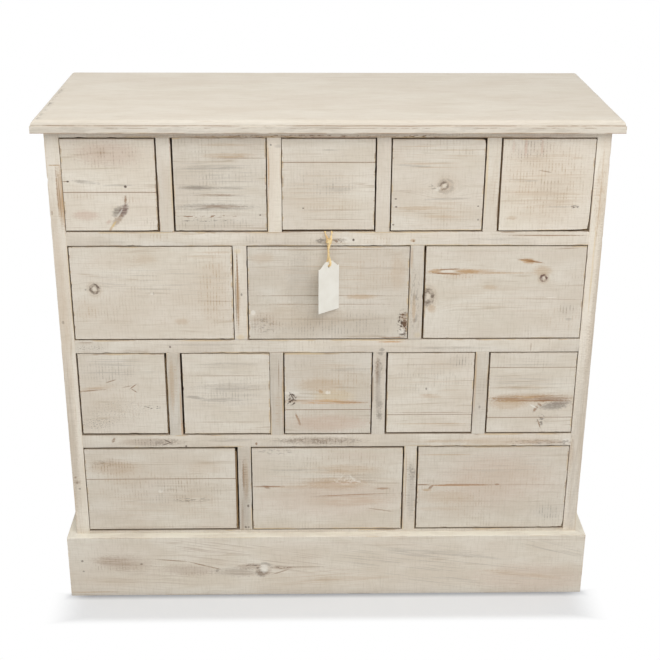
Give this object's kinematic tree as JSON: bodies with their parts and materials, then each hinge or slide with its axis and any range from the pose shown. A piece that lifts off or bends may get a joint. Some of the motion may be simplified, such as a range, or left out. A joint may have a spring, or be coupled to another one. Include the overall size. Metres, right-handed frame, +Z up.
{
  "type": "seed storage cabinet",
  "caption": "Floor-standing whitewashed wooden chest of plain inset drawers that slide out of a boarded carcass, with a moulded top, a plinth and a blank swing tag.",
  "frame": {"origin": "on the floor, under the middle of the cabinet's footprint, measured without the swing tag", "axes": "+X to the right as one faces the drawers, +Y from the drawers to the back, +Z up"},
  "size_m": [0.9, 0.3758, 0.846],
  "materials": {
    "whitewashed_pine": "limewashed sawn pine, matt, rubbed through at the edges",
    "bare_pine": "bare planed pine",
    "back_plywood": "thin plywood, unpainted",
    "nail_steel": "plain wire nails, dull",
    "tag_card": "uncoated card, blank",
    "raffia": "natural raffia twine"
  },
  "bodies": {
    "cabinet": {"top_board": "whitewashed_pine", "side_left": "whitewashed_pine", "side_right": "whitewashed_pine", "back_panel": "back_plywood", "base_board": "whitewashed_pine", "shelf_1": "whitewashed_pine", "shelf_2": "whitewashed_pine", "shelf_3": "whitewashed_pine", "top_rails": "whitewashed_pine", "divider_r1_1": "whitewashed_pine", "divider_r1_2": "whitewashed_pine", "divider_r1_3": "whitewashed_pine", "divider_r1_4": "whitewashed_pine", "divider_r2_1": "whitewashed_pine", "divider_r2_2": "whitewashed_pine", "divider_r3_1": "whitewashed_pine", "divider_r3_2": "whitewashed_pine", "divider_r3_3": "whitewashed_pine", "divider_r3_4": "whitewashed_pine", "divider_r4_1": "whitewashed_pine", "divider_r4_2": "whitewashed_pine", "plinth_front": "whitewashed_pine", "plinth_left": "whitewashed_pine", "plinth_right": "whitewashed_pine", "glue_blocks": "bare_pine", "back_panel_nails": "nail_steel"},
    "drawer_r1c1": {"drawer_r1c1_front": "whitewashed_pine", "drawer_r1c1_box": "bare_pine"},
    "drawer_r1c2": {"drawer_r1c2_front": "whitewashed_pine", "drawer_r1c2_box": "bare_pine"},
    "drawer_r1c3": {"drawer_r1c3_front": "whitewashed_pine", "drawer_r1c3_box": "bare_pine"},
    "drawer_r1c4": {"drawer_r1c4_front": "whitewashed_pine", "drawer_r1c4_box": "bare_pine"},
    "drawer_r1c5": {"drawer_r1c5_front": "whitewashed_pine", "drawer_r1c5_box": "bare_pine"},
    "drawer_r2c1": {"drawer_r2c1_front": "whitewashed_pine", "drawer_r2c1_box": "bare_pine"},
    "drawer_r2c2": {"drawer_r2c2_front": "whitewashed_pine", "drawer_r2c2_box": "bare_pine"},
    "drawer_r2c3": {"drawer_r2c3_front": "whitewashed_pine", "drawer_r2c3_box": "bare_pine"},
    "drawer_r3c1": {"drawer_r3c1_front": "whitewashed_pine", "drawer_r3c1_box": "bare_pine"},
    "drawer_r3c2": {"drawer_r3c2_front": "whitewashed_pine", "drawer_r3c2_box": "bare_pine"},
    "drawer_r3c3": {"drawer_r3c3_front": "whitewashed_pine", "drawer_r3c3_box": "bare_pine"},
    "drawer_r3c4": {"drawer_r3c4_front": "whitewashed_pine", "drawer_r3c4_box": "bare_pine"},
    "drawer_r3c5": {"drawer_r3c5_front": "whitewashed_pine", "drawer_r3c5_box": "bare_pine"},
    "drawer_r4c1": {"drawer_r4c1_front": "whitewashed_pine", "drawer_r4c1_box": "bare_pine"},
    "drawer_r4c2": {"drawer_r4c2_front": "whitewashed_pine", "drawer_r4c2_box": "bare_pine"},
    "drawer_r4c3": {"drawer_r4c3_front": "whitewashed_pine", "drawer_r4c3_box": "bare_pine"},
    "tag": {"tag_string": "raffia", "hang_tag": "tag_card"}
  },
  "joints": [
    {"name": "drawer_r1c1_slide", "type": "slide", "parent": "cabinet", "child": "drawer_r1c1", "axis": [0, -1, 0], "range_m": [0, 0.25]},
    {"name": "drawer_r1c2_slide", "type": "slide", "parent": "cabinet", "child": "drawer_r1c2", "axis": [0, -1, 0], "range_m": [0, 0.25]},
    {"name": "drawer_r1c3_slide", "type": "slide", "parent": "cabinet", "child": "drawer_r1c3", "axis": [0, -1, 0], "range_m": [0, 0.25]},
    {"name": "drawer_r1c4_slide", "type": "slide", "parent": "cabinet", "child": "drawer_r1c4", "axis": [0, -1, 0], "range_m": [0, 0.25]},
    {"name": "drawer_r1c5_slide", "type": "slide", "parent": "cabinet", "child": "drawer_r1c5", "axis": [0, -1, 0], "range_m": [0, 0.25]},
    {"name": "drawer_r2c1_slide", "type": "slide", "parent": "cabinet", "child": "drawer_r2c1", "axis": [0, -1, 0], "range_m": [0, 0.25]},
    {"name": "drawer_r2c2_slide", "type": "slide", "parent": "cabinet", "child": "drawer_r2c2", "axis": [0, -1, 0], "range_m": [0, 0.25]},
    {"name": "drawer_r2c3_slide", "type": "slide", "parent": "cabinet", "child": "drawer_r2c3", "axis": [0, -1, 0], "range_m": [0, 0.25]},
    {"name": "drawer_r3c1_slide", "type": "slide", "parent": "cabinet", "child": "drawer_r3c1", "axis": [0, -1, 0], "range_m": [0, 0.25]},
    {"name": "drawer_r3c2_slide", "type": "slide", "parent": "cabinet", "child": "drawer_r3c2", "axis": [0, -1, 0], "range_m": [0, 0.25]},
    {"name": "drawer_r3c3_slide", "type": "slide", "parent": "cabinet", "child": "drawer_r3c3", "axis": [0, -1, 0], "range_m": [0, 0.25]},
    {"name": "drawer_r3c4_slide", "type": "slide", "parent": "cabinet", "child": "drawer_r3c4", "axis": [0, -1, 0], "range_m": [0, 0.25]},
    {"name": "drawer_r3c5_slide", "type": "slide", "parent": "cabinet", "child": "drawer_r3c5", "axis": [0, -1, 0], "range_m": [0, 0.25]},
    {"name": "drawer_r4c1_slide", "type": "slide", "parent": "cabinet", "child": "drawer_r4c1", "axis": [0, -1, 0], "range_m": [0, 0.25]},
    {"name": "drawer_r4c2_slide", "type": "slide", "parent": "cabinet", "child": "drawer_r4c2", "axis": [0, -1, 0], "range_m": [0, 0.25]},
    {"name": "drawer_r4c3_slide", "type": "slide", "parent": "cabinet", "child": "drawer_r4c3", "axis": [0, -1, 0], "range_m": [0, 0.25]},
    {"name": "tag_swing", "type": "hinge", "parent": "drawer_r2c2", "child": "tag", "pos_m": [0, -0.165, 0.66625], "axis": [-1, 0, 0], "range_deg": [0, 60]}
  ]
}
